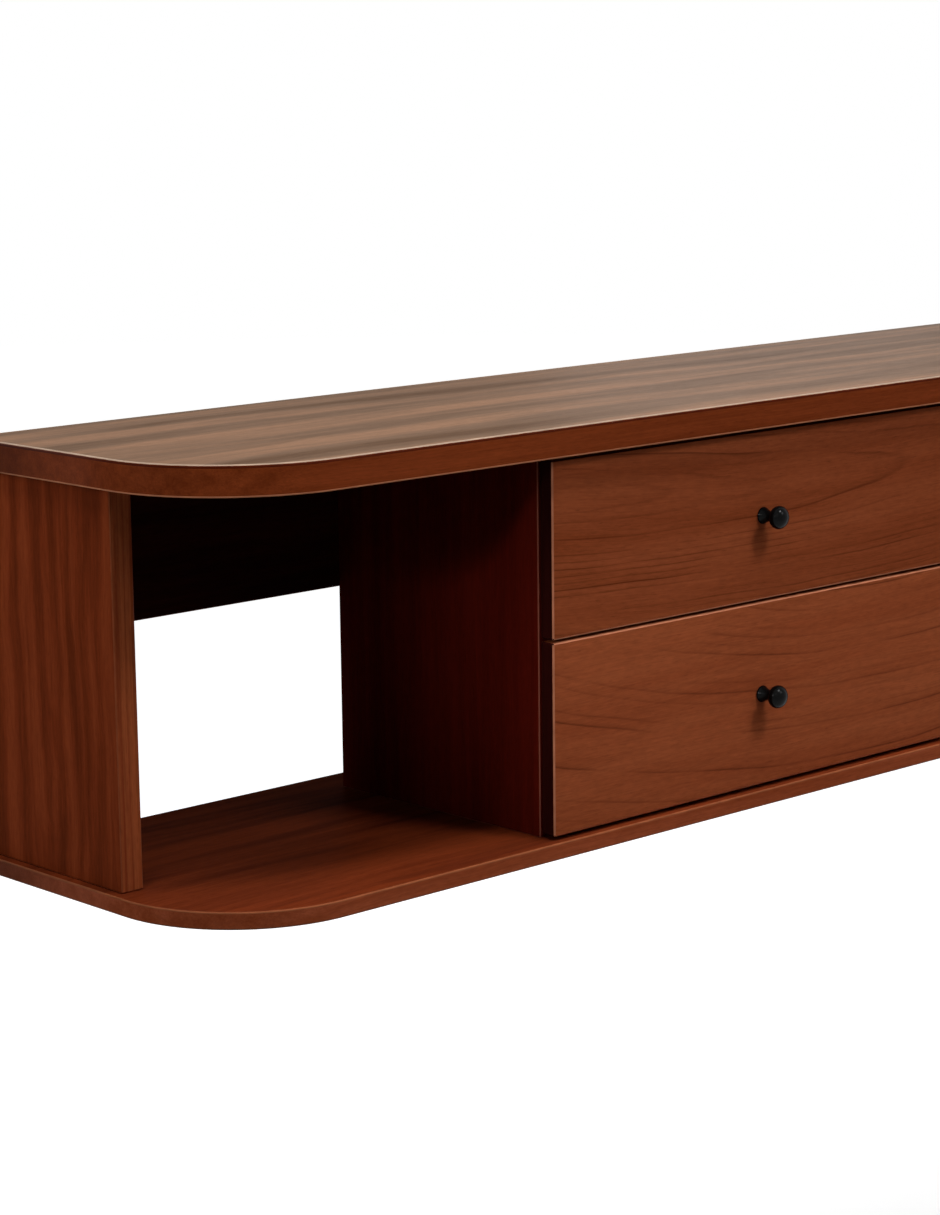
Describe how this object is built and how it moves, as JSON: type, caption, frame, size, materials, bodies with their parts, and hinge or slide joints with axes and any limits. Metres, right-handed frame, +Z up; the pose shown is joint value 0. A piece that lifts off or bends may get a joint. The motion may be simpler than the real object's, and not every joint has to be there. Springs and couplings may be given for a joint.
{
  "type": "floating media console",
  "caption": "Long wall-hung media console with rounded front corners, an open niche at each end, knobbed drawers on side runners between them, and a sloped hanging cleat behind.",
  "frame": {"origin": "middle of the wall cleat's flat back face, where it lies on the wall", "axes": "+X along the console to its right as seen from the room, +Y into the wall, +Z up"},
  "size_m": [2.08, 0.4027, 0.43],
  "materials": {
    "top_veneer": "satin lacquered walnut veneer, grain along the length",
    "bottom_veneer": "satin lacquered walnut veneer, grain along the length",
    "end_veneer": "satin lacquered walnut veneer, upright grain",
    "divider_veneer": "satin lacquered walnut veneer, upright grain",
    "rail_veneer": "satin lacquered walnut veneer, grain along the length",
    "front_veneer": "satin lacquered walnut veneer with a crown figure",
    "drawer_ply": "clear lacquered birch plywood",
    "back_board": "walnut coloured board",
    "cleat_wood": "planed softwood",
    "runner_steel": "zinc plated rolled steel",
    "screw_steel": "zinc plated steel",
    "knob_metal": "satin black"
  },
  "bodies": {
    "carcass": {"top_panel": "top_veneer", "bottom_panel": "bottom_veneer", "left_end_panel": "end_veneer", "right_end_panel": "end_veneer", "left_divider": "divider_veneer", "centre_divider": "divider_veneer", "right_divider": "divider_veneer", "hanging_rail": "rail_veneer", "drawer_bay_back": "back_board", "cabinet_cleat": "cleat_wood", "wall_cleat": "cleat_wood", "upper_left_bay_left_track": "runner_steel", "upper_left_bay_right_track": "runner_steel", "upper_right_bay_left_track": "runner_steel", "upper_right_bay_right_track": "runner_steel", "lower_left_bay_left_track": "runner_steel", "lower_left_bay_right_track": "runner_steel", "lower_right_bay_left_track": "runner_steel", "lower_right_bay_right_track": "runner_steel"},
    "upper_left_drawer": {"upper_left_drawer_front": "front_veneer", "upper_left_drawer_left_side": "drawer_ply", "upper_left_drawer_right_side": "drawer_ply", "upper_left_drawer_back": "drawer_ply", "upper_left_drawer_bottom": "drawer_ply", "upper_left_drawer_knob": "knob_metal", "upper_left_drawer_knob_screw": "screw_steel", "upper_left_drawer_left_slide": "runner_steel", "upper_left_drawer_right_slide": "runner_steel"},
    "upper_right_drawer": {"upper_right_drawer_front": "front_veneer", "upper_right_drawer_left_side": "drawer_ply", "upper_right_drawer_right_side": "drawer_ply", "upper_right_drawer_back": "drawer_ply", "upper_right_drawer_bottom": "drawer_ply", "upper_right_drawer_knob": "knob_metal", "upper_right_drawer_knob_screw": "screw_steel", "upper_right_drawer_left_slide": "runner_steel", "upper_right_drawer_right_slide": "runner_steel"},
    "lower_left_drawer": {"lower_left_drawer_front": "front_veneer", "lower_left_drawer_left_side": "drawer_ply", "lower_left_drawer_right_side": "drawer_ply", "lower_left_drawer_back": "drawer_ply", "lower_left_drawer_bottom": "drawer_ply", "lower_left_drawer_knob": "knob_metal", "lower_left_drawer_knob_screw": "screw_steel", "lower_left_drawer_left_slide": "runner_steel", "lower_left_drawer_right_slide": "runner_steel"},
    "lower_right_drawer": {"lower_right_drawer_front": "front_veneer", "lower_right_drawer_left_side": "drawer_ply", "lower_right_drawer_right_side": "drawer_ply", "lower_right_drawer_back": "drawer_ply", "lower_right_drawer_bottom": "drawer_ply", "lower_right_drawer_knob": "knob_metal", "lower_right_drawer_knob_screw": "screw_steel", "lower_right_drawer_left_slide": "runner_steel", "lower_right_drawer_right_slide": "runner_steel"}
  },
  "joints": [
    {"name": "upper_left_drawer_slide", "type": "slide", "parent": "carcass", "child": "upper_left_drawer", "axis": [0, -1, 0], "range_m": [0, 0.21]},
    {"name": "upper_right_drawer_slide", "type": "slide", "parent": "carcass", "child": "upper_right_drawer", "axis": [0, -1, 0], "range_m": [0, 0.21]},
    {"name": "lower_left_drawer_slide", "type": "slide", "parent": "carcass", "child": "lower_left_drawer", "axis": [0, -1, 0], "range_m": [0, 0.21]},
    {"name": "lower_right_drawer_slide", "type": "slide", "parent": "carcass", "child": "lower_right_drawer", "axis": [0, -1, 0], "range_m": [0, 0.21]}
  ]
}
